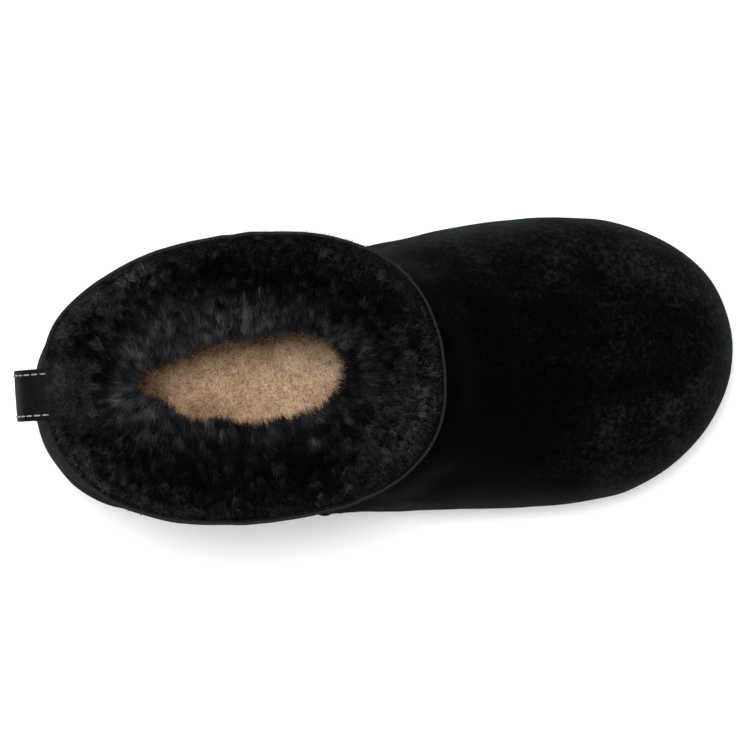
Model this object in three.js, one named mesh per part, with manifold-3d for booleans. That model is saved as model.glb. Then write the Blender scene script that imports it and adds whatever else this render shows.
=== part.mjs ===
// Sheepskin ankle boot for the right foot, women's EU 38, in millimetres.
//
// Frame: +X towards the toe, +Y towards the medial (inner) side, +Z up. The boot stands on Z = 0, and the
// origin is moved at the end to the bottom centre of the whole boot.
//
// Pieces: outsole, insole, upper and pull_tab. The upper is one hollow sheepskin wall, and its thickness is
// the skin with its deep pile: a few millimetres at the cut rim, over 20 at the throat, about 12 round the
// foot. It is open at the collar and underneath, where the outsole closes it.

import * as THREE from "three";
import { mergeVertices } from "three/addons/utils/BufferGeometryUtils.js";
import Module from "manifold-3d";

const wasm = await Module();
wasm.setup();

// ---------------------------------------------------------------- driving dimensions

const GAP = 0.3; // left between pieces that meet

const SOLE_HEEL = 20; // thickness under the heel
const SOLE_FOREFOOT = 16; // thickness under the ball
const TOE_SPRING = 9; // how far the sole's toe end is off the floor
const SPRING_START = 78; // where the sole begins to lift
const SOLE_TOE_END = 135.3;
const TOP_SPRING = 0.6; // how much of that lift the sole's top has
const ARCH_RISE = 2; // hollow under the waist
const ARCH_FROM = -58;
const ARCH_TO = 6;
const ARCH_SLOPE = 20; // length of the slope at each end of the hollow
const WAIST_FROM = -70; // where the sole's top leaves the heel's height
const WAIST_TO = 50; // where it reaches the forefoot's

const LUG_DEPTH = 2.2;
const LUG_GROOVE = 3; // width of a groove between two lugs
const LUG_PITCH = 11;
const LUG_WAVE = 2.4; // how far a groove swings forwards and backwards
const LUG_WAVES = 2.5; // swings across the sole
const LUG_BORDER = 7; // uncut edge round the lugs
const LUG_FIRST = -112; // place of the first groove, at the heel
const LUG_LAST = 124;
const GROOVE_SPAN = 120; // across the sole and a little past it
const LUG_SMOOTH = 6; // the arch's hollow stays smooth but for this much at its ends

const INSOLE_THICK = 9;

const TAB_WIDTH = 18.5;
const TAB_MIDDLE = 1; // its middle line's place across the heel
const TAB_THICK = 1.6;

// ---------------------------------------------------------------- fineness of the faces

const OUTSIDE_RINGS = 45;
const OUTSIDE_AROUND = 44;
const INSIDE_RINGS = 40;
const INSIDE_AROUND = 40;
const OUTLINE_STEPS = 30;
const GROOVE_STEPS = 20;
const TAB_STEPS = 40;
const SLAB_STEP = 8;
const REACH = 160; // well past the boot every way, for what cuts it

// ---------------------------------------------------------------- section tables

// One row is one section, a closed curve in a plane that runs from a back (or bottom) point to a front
// (or top) point. Both points lie on the row's middle line. The sections stand upright in the forefoot, fan
// round the instep, and lie nearly level in the shaft.
const SECTION_COLUMNS = [
  "backX",
  "backZ",
  "frontX",
  "frontZ",
  "middleY",
  "medialY",
  "lateralY",
  "widestMedial", // share of the way from back to front where each side is widest
  "widestLateral",
  "frontRound", // superellipse exponents: 2 is an ellipse, more is squarer
  "backRound",
];

// The outside of the suede.
const OUTSIDE = table(SECTION_COLUMNS, [
  [138.0, 29.0, 138.0, 29.0, 3.0, 3.0, 3.0, 0.5, 0.5, 2.2, 2.6], // toe tip
  [133.5, 15.0, 133.5, 42.5, 3.0, 22.3, -16.6, 0.54, 0.54, 2.2, 2.6],
  [122.5, 8.0, 122.5, 54.2, 2.4, 37.2, -33.0, 0.48, 0.48, 2.25, 2.8],
  [104.0, 4.5, 104.0, 63.5, 1.6, 48.7, -46.7, 0.44, 0.44, 2.3, 3.0], // toe box
  [80.0, 4.0, 80.0, 71.6, 1.2, 54.5, -53.7, 0.4, 0.4, 2.3, 3.0],
  [55.0, 4.0, 55.0, 79.9, 1.2, 55.1, -55.1, 0.36, 0.36, 2.2, 3.0], // ball
  [24.0, 5.0, 38.5, 88.0, 1.2, 53.0, -53.8, 0.31, 0.31, 2.1, 3.0],
  [-14.0, 7.0, 27.0, 95.4, 1.2, 48.0, -52.5, 0.27, 0.27, 2.05, 3.0], // instep
  [-55.0, 8.0, 20.0, 100.6, 0.6, 44.2, -50.2, 0.25, 0.25, 2.05, 3.0],
  [-98.0, 8.0, 17.2, 103.8, -0.6, 42.6, -46.8, 0.25, 0.25, 2.1, 2.5],
  [-124.5, 19.0, 16.4, 106.4, -2.6, 41.0, -45.0, 0.27, 0.26, 2.15, 2.35], // heel seat
  [-129.4, 42.0, 17.0, 109.2, -3.6, 40.2, -43.4, 0.31, 0.3, 2.2, 2.15], // heel bulge
  [-126.2, 66.0, 18.3, 112.4, -2.6, 41.8, -43.0, 0.41, 0.36, 2.3, 2.2], // ankle
  [-121.0, 90.0, 20.2, 116.0, -2.2, 45.4, -44.0, 0.48, 0.42, 2.35, 2.2],
  [-118.4, 111.0, 22.6, 119.8, -2.0, 49.8, -47.2, 0.52, 0.45, 2.4, 2.2],
  [-119.5, 131.0, 25.3, 124.0, -2.0, 53.9, -50.4, 0.54, 0.48, 2.45, 2.2], // rim
]);

// The surface of the pile inside: the foot's hollow, the throat over it and the funnel of the collar. It
// stays open below, where the insole lies.
const INSIDE = table(SECTION_COLUMNS, [
  [126.0, 31.0, 126.0, 31.0, 3.0, 3.0, 3.0, 0.5, 0.5, 2.2, 2.6], // toe tip
  [121.5, 18.0, 121.5, 41.0, 3.0, 18.5, -13.0, 0.52, 0.52, 2.2, 2.6],
  [111.0, 10.0, 111.0, 48.0, 2.4, 29.4, -25.8, 0.5, 0.5, 2.25, 2.8],
  [95.0, 6.0, 95.0, 53.6, 1.6, 38.4, -36.6, 0.48, 0.48, 2.3, 3.0],
  [76.0, 6.0, 76.0, 59.0, 1.2, 42.4, -41.6, 0.45, 0.45, 2.3, 3.0],
  [53.0, 6.0, 52.0, 66.0, 1.2, 43.0, -43.0, 0.41, 0.41, 2.2, 3.0], // ball
  [22.0, 7.0, 32.5, 75.0, 1.2, 41.0, -41.8, 0.36, 0.36, 2.1, 3.0],
  [-14.0, 9.0, 17.5, 83.0, 1.2, 36.2, -40.4, 0.31, 0.31, 2.05, 3.0], // instep
  [-54.0, 10.0, 5.5, 88.5, 0.6, 32.0, -37.2, 0.28, 0.28, 2.05, 3.0],
  [-92.0, 10.0, -3.5, 92.5, 0.2, 29.5, -32.6, 0.28, 0.28, 2.1, 2.7],
  [-112.0, 22.0, -8.5, 95.5, 0.6, 26.0, -26.5, 0.33, 0.33, 2.2, 2.3], // heel seat
  [-114.5, 43.0, -11.0, 98.5, 1.6, 21.5, -20.0, 0.46, 0.42, 2.3, 2.0], // heel bulge
  [-101.0, 66.0, -11.0, 102.0, 3.0, 18.0, -14.6, 0.6, 0.48, 2.4, 1.7],
  [-93.0, 87.0, -7.5, 106.5, 2.6, 19.6, -16.0, 0.62, 0.48, 2.4, 1.7], // throat
  [-100.0, 107.0, 3.5, 113.5, 0.0, 30.0, -27.0, 0.56, 0.48, 2.4, 2.0],
  [-110.5, 121.5, 14.5, 120.0, -1.4, 42.5, -39.5, 0.54, 0.47, 2.42, 2.15],
  [-115.5, 130.8, 21.3, 124.2, -2.0, 49.9, -46.6, 0.54, 0.47, 2.45, 2.2], // rim
]);

// The outsole in plan, from its heel end to its toe end.
const SOLE_OUTLINE = table(
  ["x", "medialY", "lateralY"],
  [
    [-126.5, 0, 0],
    [-121.5, 19.5, -20.5],
    [-107, 34.0, -36.0],
    [-83, 39.2, -42.0],
    [-48, 40.4, -46.0],
    [-8, 44.4, -49.6],
    [32, 50.6, -51.6],
    [66, 52.7, -52.7],
    [96, 49.0, -47.4],
    [118, 38.2, -34.4],
    [131, 22.0, -16.6],
    [SOLE_TOE_END, 3, 3],
  ],
);

// The middle of the pull tab's strap, from its lower end on the back of the shaft to its end in the collar.
const TAB_ROUTE = table(
  ["x", "z"],
  [
    [-122.6, 91],
    [-120.6, 99],
    [-120.8, 104.5],
    [-124.4, 108.6],
    [-128.1, 112.2],
    [-129.3, 117.5],
    [-128.7, 123.5],
    [-126.0, 129.2],
    [-121.8, 132],
    [-117.4, 132.4],
    [-113.7, 132.0],
    [-110.9, 129.6],
  ],
);

// The edge of the outsole, from its underside to its top.
const SOLE_EDGE = table(
  ["share", "inset"],
  [
    [0, 2.4],
    [0.1, 0.7],
    [0.28, 0],
    [0.82, 0],
    [1, 1],
  ],
);

// ---------------------------------------------------------------- curves through the tables

function table(columns, rows) {
  return rows.map((row) => Object.fromEntries(columns.map((name, i) => [name, row[i]])));
}

// A row on the far side of a rounded end: the same row with its two sides changed over.
function mirrored(row) {
  const other = { ...row, medialY: row.lateralY, lateralY: row.medialY };
  if ("backX" in row) {
    Object.assign(other, { backX: row.frontX, backZ: row.frontZ, frontX: row.backX, frontZ: row.backZ });
  }
  return other;
}

// The row that would follow last if the table went on as it does.
function continued(last, before) {
  return Object.fromEntries(Object.keys(last).map((key) => [key, 2 * last[key] - before[key]]));
}

// The row at a fractional place in a table, on a Catmull-Rom spline. endsRound says whether the table's
// last row is a rounded tip, as its first one always is.
function rowAt(rows, place, endsRound = false) {
  const top = rows.length - 1;
  const i = Math.min(Math.floor(place), top - 1);
  const f = place - i;
  const before = i > 0 ? rows[i - 1] : mirrored(rows[1]);
  const beyond = endsRound ? mirrored(rows[top - 1]) : continued(rows[top], rows[top - 1]);
  const after = i + 2 <= top ? rows[i + 2] : beyond;
  const blend = (a, b, c, d) =>
    0.5 * (2 * b + (c - a) * f + (2 * a - 5 * b + 4 * c - d) * f * f + (3 * b - a - 3 * c + d) * f ** 3);
  const here = rows[i];
  const next = rows[i + 1];
  const keys = Object.keys(here);
  return Object.fromEntries(keys.map((key) => [key, blend(before[key], here[key], next[key], after[key])]));
}

// A point of a section. Turn 0 is its medial side, a quarter its front, a half its lateral side.
function sectionPoint(row, turn) {
  const angle = 2 * Math.PI * turn;
  const side = Math.cos(angle);
  const forward = Math.sin(angle);
  const exponent = 2 / (forward >= 0 ? row.frontRound : row.backRound);
  const widest = side >= 0 ? row.widestMedial : row.widestLateral;
  const share = widest + ((forward >= 0 ? 1 : 0) - widest) * Math.abs(forward) ** exponent;
  const reach = (side >= 0 ? row.medialY : row.lateralY) - row.middleY;
  return new THREE.Vector3(
    THREE.MathUtils.lerp(row.backX, row.frontX, share),
    row.middleY + reach * Math.abs(side) ** exponent,
    THREE.MathUtils.lerp(row.backZ, row.frontZ, share),
  );
}

function section(row, around) {
  return Array.from({ length: around }, (_, i) => sectionPoint(row, i / around));
}

// A row drawn in by a small distance all round.
function drawnIn(row, by) {
  const along = new THREE.Vector2(row.frontX - row.backX, row.frontZ - row.backZ);
  const step = along.length() > 2 * by ? along.clone().setLength(by) : new THREE.Vector2();
  const inward = (y) => {
    const reach = y - row.middleY;
    return row.middleY + Math.sign(reach) * Math.max(0, Math.abs(reach) - by);
  };
  return {
    ...row,
    backX: row.backX + step.x,
    backZ: row.backZ + step.y,
    frontX: row.frontX - step.x,
    frontZ: row.frontZ - step.y,
    medialY: inward(row.medialY),
    lateralY: inward(row.lateralY),
  };
}

// Eases from 0 to 1 between two places.
const ease = (x, from, to) => THREE.MathUtils.smoothstep(x, from, to);

// How much the sole lifts off the floor at a place along the boot.
function spring(x) {
  const share = Math.max(0, (x - SPRING_START) / (SOLE_TOE_END - SPRING_START));
  return TOE_SPRING * share ** 2;
}

// Heights of the sole's underside and of its top at a place along the boot.
function soleBottom(x) {
  const rises = ease(x, ARCH_FROM, ARCH_FROM + ARCH_SLOPE);
  const falls = ease(x, ARCH_TO - ARCH_SLOPE, ARCH_TO);
  return spring(x) + ARCH_RISE * rises * (1 - falls);
}

function soleTop(x) {
  const level = THREE.MathUtils.lerp(SOLE_HEEL, SOLE_FOREFOOT, ease(x, WAIST_FROM, WAIST_TO));
  return level + TOP_SPRING * spring(x);
}

// ---------------------------------------------------------------- closed meshes and solids

// A solid from rings of points, each with the same number. Ends are closed by a fan round their centre, and
// a ring with no size is one point.
function loft(rings) {
  const count = rings[0].length;
  const points = [];
  const faces = [];
  const starts = rings.map((ring) => {
    const start = points.length;
    const tip = ring.every((p) => p.distanceTo(ring[0]) < 1e-6);
    points.push(...(tip ? [ring[0]] : ring));
    return { start, tip };
  });
  const at = (ring, i) => starts[ring].start + (starts[ring].tip ? 0 : i % count);
  for (let r = 0; r + 1 < rings.length; r += 1) {
    for (let i = 0; i < count; i += 1) {
      const corners = [at(r, i), at(r, i + 1), at(r + 1, i + 1), at(r + 1, i)];
      faces.push([corners[0], corners[1], corners[2]], [corners[0], corners[2], corners[3]]);
    }
  }
  for (const ring of [0, rings.length - 1].filter((end) => !starts[end].tip)) {
    points.push(rings[ring].reduce((sum, p) => sum.add(p), new THREE.Vector3()).divideScalar(count));
    const middle = points.length - 1;
    for (let i = 0; i < count; i += 1) {
      const edge = ring === 0 ? [at(ring, i + 1), at(ring, i)] : [at(ring, i), at(ring, i + 1)];
      faces.push([...edge, middle]);
    }
  }
  const proper = faces.filter(([a, b, c]) => a !== b && b !== c && c !== a);
  const solid = new wasm.Manifold(
    new wasm.Mesh({
      numProp: 3,
      vertProperties: new Float32Array(points.flatMap((p) => [p.x, p.y, p.z])),
      triVerts: new Uint32Array(proper.flat()),
    }),
  );
  if (solid.volume() <= 0) {
    throw new Error("a loft's rings run the wrong way round");
  }
  return solid;
}

// A three.js geometry as a solid.
function solidOf(geometry) {
  const bare = geometry.index ? geometry.toNonIndexed() : geometry.clone();
  bare.deleteAttribute("normal");
  bare.deleteAttribute("uv");
  const merged = mergeVertices(bare, 1e-4);
  return new wasm.Manifold(
    new wasm.Mesh({
      numProp: 3,
      vertProperties: new Float32Array(merged.attributes.position.array),
      triVerts: new Uint32Array(merged.index.array),
    }),
  );
}

function geometryOf(solid) {
  const mesh = solid.getMesh();
  const geometry = new THREE.BufferGeometry();
  geometry.setAttribute("position", new THREE.BufferAttribute(new Float32Array(mesh.vertProperties), 3));
  geometry.setIndex(new THREE.BufferAttribute(new Uint32Array(mesh.triVerts), 1));
  const flat = geometry.toNonIndexed();
  flat.computeVertexNormals();
  return flat;
}

// The form of a section table, as a closed solid built from the rim to the toe tip.
function form(rows, rings, around, change = (row) => row) {
  const made = [];
  for (let r = rings; r >= 0; r -= 1) {
    const row = change(rowAt(rows, ((rows.length - 1) * r) / rings));
    made.push(section(row, around));
  }
  return loft(made);
}

// ---------------------------------------------------------------- plan outline of the sole

// The outline as a closed ring, drawn in by a distance, starting at the heel and going round anticlockwise.
function outline(inset) {
  const last = SOLE_OUTLINE.length - 1;
  const shares = Array.from({ length: OUTLINE_STEPS + 1 }, (_, i) => i / OUTLINE_STEPS);
  const rows = shares.map((share) => rowAt(SOLE_OUTLINE, share * last, true));
  const lateral = rows.map((row) => new THREE.Vector2(row.x, row.lateralY));
  const medial = rows.map((row) => new THREE.Vector2(row.x, row.medialY));
  const ring = [...lateral, ...medial.slice(1, -1).reverse()];
  return ring.map((p, i) => {
    const before = ring.at(i - 1);
    const after = ring[(i + 1) % ring.length];
    const along = after.clone().sub(before).normalize();
    return new THREE.Vector2(p.x - along.y * inset, p.y + along.x * inset);
  });
}

// A solid over the sole's outline. Each level is drawn in by its own amount, and its height is a share of
// the way from the sole's underside to its top.
function soleLayer(levels) {
  const lifted = (p, share) => {
    const height = THREE.MathUtils.lerp(soleBottom(p.x), soleTop(p.x), share);
    return new THREE.Vector3(p.x, p.y, height);
  };
  return loft(levels.map(({ inset, share }) => outline(inset).map((p) => lifted(p, share))));
}

// A wide slab between two heights that depend on x: what lies under or over a curved level.
function slab(low, high) {
  const rings = [];
  for (let x = -REACH; x <= REACH; x += SLAB_STEP) {
    const corners = [
      [-REACH, low(x)],
      [REACH, low(x)],
      [REACH, high(x)],
      [-REACH, high(x)],
    ];
    rings.push(corners.map(([y, z]) => new THREE.Vector3(x, y, z)));
  }
  return loft(rings);
}

// ---------------------------------------------------------------- the pieces

// The sole's block. Its edge runs on past both faces, and the slab cuts it to them.
function soleBlock() {
  const edge = [{ ...SOLE_EDGE[0], share: -1 }, ...SOLE_EDGE, { ...SOLE_EDGE.at(-1), share: 2 }];
  return soleLayer(edge).intersect(slab(soleBottom, soleTop));
}

// One wavy groove across the sole, centred at x.
function groove(x) {
  const edge = (side) =>
    Array.from({ length: GROOVE_STEPS + 1 }, (_, i) => {
      const across = i / GROOVE_STEPS - 0.5;
      const swing = LUG_WAVE * Math.sin(2 * Math.PI * LUG_WAVES * across);
      return new THREE.Vector2(x + swing + (side * LUG_GROOVE) / 2, across * GROOVE_SPAN);
    });
  const shape = new THREE.Shape([...edge(1), ...edge(-1).reverse()]);
  const bar = new THREE.ExtrudeGeometry(shape, { depth: SOLE_HEEL, bevelEnabled: false });
  return solidOf(bar.translate(0, 0, -SOLE_HEEL / 2));
}

function makeOutsole() {
  const inner = soleLayer([-1, 2].map((share) => ({ inset: LUG_BORDER, share })));
  const cutDepth = inner.intersect(slab(() => -SOLE_HEEL, (x) => soleBottom(x) + LUG_DEPTH));
  let sole = soleBlock();
  for (let x = LUG_FIRST; x < LUG_LAST; x += LUG_PITCH) {
    const inArch = x > ARCH_FROM + LUG_SMOOTH && x < ARCH_TO - LUG_SMOOTH;
    if (!inArch) {
      sole = sole.subtract(groove(x).intersect(cutDepth));
    }
  }
  return sole;
}

// The column over the collar that opens the hollow at the rim.
function mouth() {
  const edge = section(INSIDE.at(-1), INSIDE_AROUND);
  return loft([SOLE_HEEL, -GAP].map((up) => edge.map((p) => p.clone().setZ(p.z + up))));
}

function makeUpper() {
  const outside = form(OUTSIDE, OUTSIDE_RINGS, OUTSIDE_AROUND);
  const inside = form(INSIDE, INSIDE_RINGS, INSIDE_AROUND);
  const underneath = slab(() => -SOLE_HEEL, (x) => soleTop(x) + GAP);
  return outside.subtract(inside.add(mouth())).subtract(underneath);
}

function makeInsole() {
  const hollow = form(INSIDE, INSIDE_RINGS, INSIDE_AROUND, (row) => drawnIn(row, 1.5 * GAP));
  return hollow.intersect(slab((x) => soleTop(x) + 2 * GAP, (x) => soleTop(x) + INSOLE_THICK));
}

// A leather strap bent into a loop: it runs up the back of the shaft, swings out behind it, and comes back
// over the rim into the collar.
function makePullTab() {
  const centre = new THREE.CatmullRomCurve3(TAB_ROUTE.map(({ x, z }) => new THREE.Vector3(x, 0, z)));
  const half = TAB_THICK / 2;
  const edge = (sign) =>
    Array.from({ length: TAB_STEPS + 1 }, (_, i) => {
      const at = centre.getPointAt(i / TAB_STEPS);
      const along = centre.getTangentAt(i / TAB_STEPS);
      return new THREE.Vector2(at.x - sign * half * along.z, at.z + sign * half * along.x);
    });
  const shape = new THREE.Shape([...edge(-1), ...edge(1).reverse()]);
  const strap = new THREE.ExtrudeGeometry(shape, { depth: TAB_WIDTH, bevelEnabled: false });
  strap.translate(0, 0, -TAB_WIDTH / 2 - TAB_MIDDLE).rotateX(Math.PI / 2);
  return solidOf(strap);
}

// ---------------------------------------------------------------- the boot

const MATERIALS = {
  suede: new THREE.MeshStandardMaterial({ color: 0x0e1113, roughness: 0.95, metalness: 0 }),
  rubber: new THREE.MeshStandardMaterial({ color: 0x121313, roughness: 0.7, metalness: 0 }),
  fleece: new THREE.MeshStandardMaterial({ color: 0xa98763, roughness: 1, metalness: 0 }),
  strap: new THREE.MeshStandardMaterial({ color: 0x1f2020, roughness: 0.6, metalness: 0 }),
};

function piece(name, solid, material) {
  const mesh = new THREE.Mesh(geometryOf(solid), material);
  mesh.name = name;
  return mesh;
}

const boot = new THREE.Group();
boot.add(piece("outsole", makeOutsole(), MATERIALS.rubber));
boot.add(piece("insole", makeInsole(), MATERIALS.fleece));
boot.add(piece("upper", makeUpper(), MATERIALS.suede));
boot.add(piece("pull_tab", makePullTab(), MATERIALS.strap));

// The origin goes on the floor under the middle of the boot.
const whole = new THREE.Box3().setFromObject(boot);
const centre = whole.getCenter(new THREE.Vector3());
boot.position.set(-centre.x, -centre.y, -whole.min.z);

export default boot;
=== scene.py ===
"""A sheepskin ankle boot for the right foot: black suede outside, black pile inside, a tan fleece insole, a
stitched leather pull tab and a flat rubber outsole. All shapes are in metres, in the frame of the CAD model:
+X towards the toe, +Y towards the medial side, +Z up, with the floor at 0."""

import math

import bmesh
import bpy
import numpy as np
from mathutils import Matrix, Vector
from mathutils.kdtree import KDTree


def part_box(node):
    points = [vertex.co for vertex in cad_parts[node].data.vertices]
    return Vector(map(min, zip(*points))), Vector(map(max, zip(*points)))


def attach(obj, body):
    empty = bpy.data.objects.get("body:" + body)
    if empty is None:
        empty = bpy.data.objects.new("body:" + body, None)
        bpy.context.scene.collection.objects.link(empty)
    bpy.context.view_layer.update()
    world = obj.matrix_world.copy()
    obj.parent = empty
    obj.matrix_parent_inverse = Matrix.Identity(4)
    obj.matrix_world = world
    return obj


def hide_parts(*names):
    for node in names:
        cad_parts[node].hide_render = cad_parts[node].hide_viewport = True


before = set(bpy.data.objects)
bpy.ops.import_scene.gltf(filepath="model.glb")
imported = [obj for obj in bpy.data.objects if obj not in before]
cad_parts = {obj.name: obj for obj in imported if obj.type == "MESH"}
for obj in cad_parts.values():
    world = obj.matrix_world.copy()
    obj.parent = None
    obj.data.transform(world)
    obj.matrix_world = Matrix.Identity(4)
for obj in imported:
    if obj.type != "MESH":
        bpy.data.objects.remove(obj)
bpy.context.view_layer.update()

MM = 0.001
UP = np.array([0, 0, 1])
TOE_TIP = 138 * MM  # where the section tables put the toe's tip
SEED = 7

# ------------------------------------------------------------------ the boot's driving sizes

SKIN = 1.2 * MM  # thickness of the suede
RIM_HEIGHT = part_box("upper")[1].z
SOLE_HEEL = 20 * MM
SOLE_FOREFOOT = 16 * MM
TOE_SPRING = 9 * MM
SPRING_START = 78 * MM
SOLE_TOE_END = 135.3 * MM
TOP_SPRING = 0.6
ARCH_RISE = 2 * MM
ARCH_FROM = -58 * MM
ARCH_TO = 6 * MM
ARCH_SLOPE = 20 * MM
WAIST_FROM = -70 * MM
WAIST_TO = 50 * MM

# A row is one section of the boot, a closed curve in a plane from a back (or bottom) point to a front (or
# top) point: back x and z, front x and z, middle y, medial y, lateral y, how far from back to front each
# side is widest, and the roundness of its front and back (2 is an ellipse, more is squarer).
SECTION_SCALE = np.array([MM] * 7 + [1] * 4)
MIRRORED = [2, 3, 0, 1, 4, 6, 5, 7, 8, 9, 10]  # a row's columns with back and front, and the sides, swapped
OUTSIDE = SECTION_SCALE * [
    [138, 29, 138, 29, 3, 3, 3, 0.5, 0.5, 2.2, 2.6],  # toe tip
    [133.5, 15, 133.5, 42.5, 3, 22.3, -16.6, 0.54, 0.54, 2.2, 2.6],
    [122.5, 8, 122.5, 54.2, 2.4, 37.2, -33, 0.48, 0.48, 2.25, 2.8],
    [104, 4.5, 104, 63.5, 1.6, 48.7, -46.7, 0.44, 0.44, 2.3, 3],  # toe box
    [80, 4, 80, 71.6, 1.2, 54.5, -53.7, 0.4, 0.4, 2.3, 3],
    [55, 4, 55, 79.9, 1.2, 55.1, -55.1, 0.36, 0.36, 2.2, 3],  # ball
    [24, 5, 38.5, 88, 1.2, 53, -53.8, 0.31, 0.31, 2.1, 3],
    [-14, 7, 27, 95.4, 1.2, 48, -52.5, 0.27, 0.27, 2.05, 3],  # instep
    [-55, 8, 20, 100.6, 0.6, 44.2, -50.2, 0.25, 0.25, 2.05, 3],
    [-98, 8, 17.2, 103.8, -0.6, 42.6, -46.8, 0.25, 0.25, 2.1, 2.5],
    [-124.5, 19, 16.4, 106.4, -2.6, 41, -45, 0.27, 0.26, 2.15, 2.35],  # heel seat
    [-129.4, 42, 17, 109.2, -3.6, 40.2, -43.4, 0.31, 0.3, 2.2, 2.15],  # heel bulge
    [-126.2, 66, 18.3, 112.4, -2.6, 41.8, -43, 0.41, 0.36, 2.3, 2.2],  # ankle
    [-121, 90, 20.2, 116, -2.2, 45.4, -44, 0.48, 0.42, 2.35, 2.2],
    [-118.4, 111, 22.6, 119.8, -2, 49.8, -47.2, 0.52, 0.45, 2.4, 2.2],
    [-119.5, 131, 25.3, 124, -2, 53.9, -50.4, 0.54, 0.48, 2.45, 2.2],  # rim
]
# The level that the tips of the pile reach inside.
INSIDE = SECTION_SCALE * [
    [126, 31, 126, 31, 3, 3, 3, 0.5, 0.5, 2.2, 2.6],  # toe tip
    [121.5, 18, 121.5, 41, 3, 18.5, -13, 0.52, 0.52, 2.2, 2.6],
    [111, 10, 111, 48, 2.4, 29.4, -25.8, 0.5, 0.5, 2.25, 2.8],
    [95, 6, 95, 53.6, 1.6, 38.4, -36.6, 0.48, 0.48, 2.3, 3],
    [76, 6, 76, 59, 1.2, 42.4, -41.6, 0.45, 0.45, 2.3, 3],
    [53, 6, 52, 66, 1.2, 43, -43, 0.41, 0.41, 2.2, 3],  # ball
    [22, 7, 32.5, 75, 1.2, 41, -41.8, 0.36, 0.36, 2.1, 3],
    [-14, 9, 17.5, 83, 1.2, 36.2, -40.4, 0.31, 0.31, 2.05, 3],  # instep
    [-54, 10, 5.5, 88.5, 0.6, 32, -37.2, 0.28, 0.28, 2.05, 3],
    [-92, 10, -3.5, 92.5, 0.2, 29.5, -32.6, 0.28, 0.28, 2.1, 2.7],
    [-112, 22, -8.5, 95.5, 0.6, 26, -26.5, 0.33, 0.33, 2.2, 2.3],  # heel seat
    [-114.5, 43, -11, 98.5, 1.6, 21.5, -20, 0.46, 0.42, 2.3, 2],  # heel bulge
    [-101, 66, -11, 102, 3, 18, -14.6, 0.6, 0.48, 2.4, 1.7],
    [-93, 87, -7.5, 106.5, 2.6, 19.6, -16, 0.62, 0.48, 2.4, 1.7],  # throat
    [-100, 107, 3.5, 113.5, 0, 30, -27, 0.56, 0.48, 2.4, 2],
    [-110.5, 121.5, 14.5, 120, -1.4, 42.5, -39.5, 0.54, 0.47, 2.42, 2.15],
    [-115.5, 130.8, 21.3, 124.2, -2, 49.9, -46.6, 0.54, 0.47, 2.45, 2.2],  # rim
]
# The outsole in plan: x, medial y and lateral y, from heel to toe.
SOLE_MIRRORED = [0, 2, 1]
SOLE_OUTLINE = MM * np.array(
    [
        [-126.5, 0, 0], [-121.5, 19.5, -20.5], [-107, 34, -36], [-83, 39.2, -42], [-48, 40.4, -46],
        [-8, 44.4, -49.6], [32, 50.6, -51.6], [66, 52.7, -52.7], [96, 49, -47.4], [118, 38.2, -34.4],
        [131, 22, -16.6], [135.3, 3, 3],
    ]
)
# The middle of the pull tab's strap, x and z, from the back of the shaft, out, and over the rim.
TAB_ROUTE = MM * np.array(
    [
        [-122.6, 91], [-120.6, 99], [-120.8, 104.5], [-124.4, 108.6], [-128.1, 112.2], [-129.3, 117.5],
        [-128.7, 123.5], [-126, 129.2], [-121.8, 132], [-117.4, 132.4], [-113.7, 132], [-110.9, 129.6],
    ]
)
TAB_WIDTH = 18.5 * MM
TAB_THICK = 1.6 * MM
TAB_MIDDLE = 1 * MM
# From the tables' own origin to the frame's.
SHIFT = np.array([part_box("upper")[1].x - TOE_TIP, sum(c.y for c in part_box("pull_tab")) / 2 - TAB_MIDDLE, 0])

# ------------------------------------------------------------------ curves and fields


def spline(rows, places, first, last):
    """Rows at fractional places, on a Catmull-Rom spline. first and last are the rows beyond its ends."""
    padded = np.vstack([first, rows, last])
    i = np.minimum(places.astype(int), len(rows) - 2)
    f = (places - i)[:, None]
    a, b, c, d = (padded[i + k] for k in range(4))
    return 0.5 * (2 * b + (c - a) * f + (2 * a - 5 * b + 4 * c - d) * f**2 + (3 * b - a - 3 * c + d) * f**3)


def section_points(rows, around):
    """The points of each row's section: from its medial side round its front to its lateral side."""
    angle = 2 * np.pi * np.arange(around) / around
    side, forward = np.cos(angle), np.sin(angle)
    columns = rows.T[:, :, None]
    back_x, back_z, front_x, front_z, middle, medial, lateral = columns[:7]
    wide_medial, wide_lateral, front, back = columns[7:]
    exponent = 2 / np.where(forward >= 0, front, back)
    widest = np.where(side >= 0, wide_medial, wide_lateral)
    share = widest + ((forward >= 0) - widest) * np.abs(forward) ** exponent
    reach = np.where(side >= 0, medial, lateral) - middle
    x = back_x + (front_x - back_x) * share
    y = middle + reach * np.abs(side) ** exponent
    z = back_z + (front_z - back_z) * share
    return np.stack([x, y, z], -1) + SHIFT


def form(table, places, around):
    """Rings of points of a section table at fractional places. Its first row is a rounded tip."""
    return section_points(spline(table, places, table[1][MIRRORED], 2 * table[-1] - table[-2]), around)


def length(v):
    return np.linalg.norm(v, axis=-1)


def unit(v):
    return v / np.maximum(length(v)[..., None], 1e-12)


def outward(grid):
    """Unit normals of a form's points, away from its inside. The first ring may be a single point."""
    along = np.gradient(grid, axis=0)
    around = np.roll(grid, -1, 1) - np.roll(grid, 1, 1)
    normals = unit(np.cross(along, around))
    normals[0] = unit(normals[1].mean(0))
    return normals


def ease(x, start, end):
    """0 before start, 1 after end, and a smooth step between them."""
    t = np.clip((np.asarray(x, float) - start) / (end - start), 0, 1)
    return t * t * (3 - 2 * t)


def bell(distance, width):
    """1 at no distance, and falling off smoothly, to about a third at the width."""
    return np.exp(-((distance / width) ** 2))


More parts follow.
